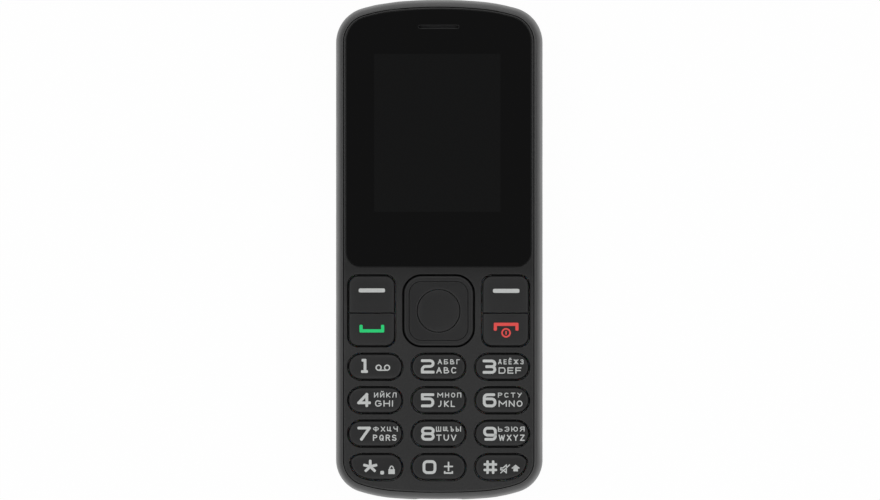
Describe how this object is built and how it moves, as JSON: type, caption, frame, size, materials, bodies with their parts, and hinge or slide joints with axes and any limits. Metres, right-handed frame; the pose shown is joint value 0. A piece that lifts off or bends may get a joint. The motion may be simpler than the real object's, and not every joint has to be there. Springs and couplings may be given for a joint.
{
  "type": "feature phone",
  "caption": "Keypad mobile phone: rounded bar shell with a black display window, navigation ring, paired soft and call keys, number keys and a lift-off back cover over the battery.",
  "frame": {"origin": "middle of the flat back, on the surface that the phone lies on", "axes": "+X to the right of the keypad, +Y towards the earpiece end, +Z out of the display"},
  "size_m": [0.046, 0.1113, 0.0135],
  "materials": {
    "front_shell": "fine matt texture, charcoal",
    "cover_shell": "fine matt texture, charcoal",
    "inner_shell": "plain black moulding",
    "window": "polished black window",
    "tape": "black foam tape",
    "mesh": "blackened fine mesh",
    "keycap": "smooth satin charcoal",
    "silicone": "translucent grey silicone",
    "thin_steel": "bright rolled sheet",
    "display_glass": "dark polariser film",
    "display_tray": "white moulding",
    "flex": "amber film",
    "board": "green solder mask",
    "component": "black moulded package",
    "lamp": "clear yellowish resin",
    "holder_steel": "nickel-plated sheet",
    "antenna_metal": "gold-plated sheet",
    "battery_can": "dark printed film over an aluminium can"
  },
  "bodies": {
    "housing": {"front_housing": "front_shell", "rear_housing": "inner_shell", "display_lens": "window", "lens_tape": "tape", "speaker_gasket": "tape", "earpiece_mesh": "mesh", "keymat": "silicone", "key_domes": "thin_steel", "shield_cans": "thin_steel", "charging_socket": "thin_steel", "vibration_motor": "thin_steel", "housing_screws": "thin_steel", "lcd_panel": "display_glass", "lcd_frame": "display_tray", "lcd_flex": "flex", "main_board": "board", "processor_chip": "component", "battery_contacts": "component", "headphone_jack": "component", "loudspeaker": "component", "earpiece": "component", "keypad_leds": "lamp", "sim_holder_1": "holder_steel", "sim_holder_2": "holder_steel", "memory_card_holder": "holder_steel", "microphone": "holder_steel", "antenna": "antenna_metal"},
    "rear_cover": {"rear_cover": "cover_shell"},
    "battery": {"battery": "battery_can", "battery_terminals": "antenna_metal"},
    "motor_weight": {"motor_weight": "thin_steel"},
    "nav_rocker_plate": {"nav_rocker_plate": "thin_steel"},
    "nav_ring": {"nav_ring": "keycap"},
    "ok_key": {"ok_key": "keycap"},
    "soft_key_left": {"soft_key_left": "keycap"},
    "call_key": {"call_key": "keycap"},
    "soft_key_right": {"soft_key_right": "keycap"},
    "end_key": {"end_key": "keycap"},
    "key_1": {"key_1": "keycap"},
    "key_2": {"key_2": "keycap"},
    "key_3": {"key_3": "keycap"},
    "key_4": {"key_4": "keycap"},
    "key_5": {"key_5": "keycap"},
    "key_6": {"key_6": "keycap"},
    "key_7": {"key_7": "keycap"},
    "key_8": {"key_8": "keycap"},
    "key_9": {"key_9": "keycap"},
    "key_star": {"key_star": "keycap"},
    "key_0": {"key_0": "keycap"},
    "key_hash": {"key_hash": "keycap"}
  },
  "joints": [
    {"name": "cover_slide", "type": "slide", "parent": "housing", "child": "rear_cover", "axis": [0, 0, -1], "range_m": [0, 0.025]},
    {"name": "battery_lift", "type": "slide", "parent": "housing", "child": "battery", "axis": [0, 0, -1], "range_m": [0, 0.01]},
    {"name": "motor_spin", "type": "hinge", "parent": "housing", "child": "motor_weight", "pos_m": [-0.00441, -0.0389, 0.0042], "axis": [1, 0, 0], "continuous": true},
    {"name": "nav_rock_sideways", "type": "hinge", "parent": "housing", "child": "nav_rocker_plate", "pos_m": [0, -0.01357, 0.01095], "axis": [0, 1, 0], "range_deg": [-2.1, 2.1], "stiffness_Nm_per_rad": 0.04},
    {"name": "nav_rock_lengthways", "type": "hinge", "parent": "nav_rocker_plate", "child": "nav_ring", "pos_m": [0, -0.01357, 0.01145], "axis": [1, 0, 0], "range_deg": [-2.1, 2.1], "stiffness_Nm_per_rad": 0.04},
    {"name": "ok_key_press", "type": "slide", "parent": "housing", "child": "ok_key", "axis": [0, 0, -1], "range_m": [0, 0.0003], "stiffness_N_per_m": 400, "deforming": ["keymat"]},
    {"name": "soft_key_left_press", "type": "slide", "parent": "housing", "child": "soft_key_left", "axis": [0, 0, -1], "range_m": [0, 0.0003], "stiffness_N_per_m": 400},
    {"name": "call_key_press", "type": "slide", "parent": "housing", "child": "call_key", "axis": [0, 0, -1], "range_m": [0, 0.0003], "stiffness_N_per_m": 400},
    {"name": "soft_key_right_press", "type": "slide", "parent": "housing", "child": "soft_key_right", "axis": [0, 0, -1], "range_m": [0, 0.0003], "stiffness_N_per_m": 400},
    {"name": "end_key_press", "type": "slide", "parent": "housing", "child": "end_key", "axis": [0, 0, -1], "range_m": [0, 0.0003], "stiffness_N_per_m": 400},
    {"name": "key_1_press", "type": "slide", "parent": "housing", "child": "key_1", "axis": [0, 0, -1], "range_m": [0, 0.0003], "stiffness_N_per_m": 400},
    {"name": "key_2_press", "type": "slide", "parent": "housing", "child": "key_2", "axis": [0, 0, -1], "range_m": [0, 0.0003], "stiffness_N_per_m": 400},
    {"name": "key_3_press", "type": "slide", "parent": "housing", "child": "key_3", "axis": [0, 0, -1], "range_m": [0, 0.0003], "stiffness_N_per_m": 400},
    {"name": "key_4_press", "type": "slide", "parent": "housing", "child": "key_4", "axis": [0, 0, -1], "range_m": [0, 0.0003], "stiffness_N_per_m": 400},
    {"name": "key_5_press", "type": "slide", "parent": "housing", "child": "key_5", "axis": [0, 0, -1], "range_m": [0, 0.0003], "stiffness_N_per_m": 400},
    {"name": "key_6_press", "type": "slide", "parent": "housing", "child": "key_6", "axis": [0, 0, -1], "range_m": [0, 0.0003], "stiffness_N_per_m": 400},
    {"name": "key_7_press", "type": "slide", "parent": "housing", "child": "key_7", "axis": [0, 0, -1], "range_m": [0, 0.0003], "stiffness_N_per_m": 400},
    {"name": "key_8_press", "type": "slide", "parent": "housing", "child": "key_8", "axis": [0, 0, -1], "range_m": [0, 0.0003], "stiffness_N_per_m": 400},
    {"name": "key_9_press", "type": "slide", "parent": "housing", "child": "key_9", "axis": [0, 0, -1], "range_m": [0, 0.0003], "stiffness_N_per_m": 400},
    {"name": "key_star_press", "type": "slide", "parent": "housing", "child": "key_star", "axis": [0, 0, -1], "range_m": [0, 0.0003], "stiffness_N_per_m": 400},
    {"name": "key_0_press", "type": "slide", "parent": "housing", "child": "key_0", "axis": [0, 0, -1], "range_m": [0, 0.0003], "stiffness_N_per_m": 400},
    {"name": "key_hash_press", "type": "slide", "parent": "housing", "child": "key_hash", "axis": [0, 0, -1], "range_m": [0, 0.0003], "stiffness_N_per_m": 400}
  ],
  "couplings": [
    {"joint": "battery_lift", "follows": "cover_slide", "ratio": 0.4}
  ]
}
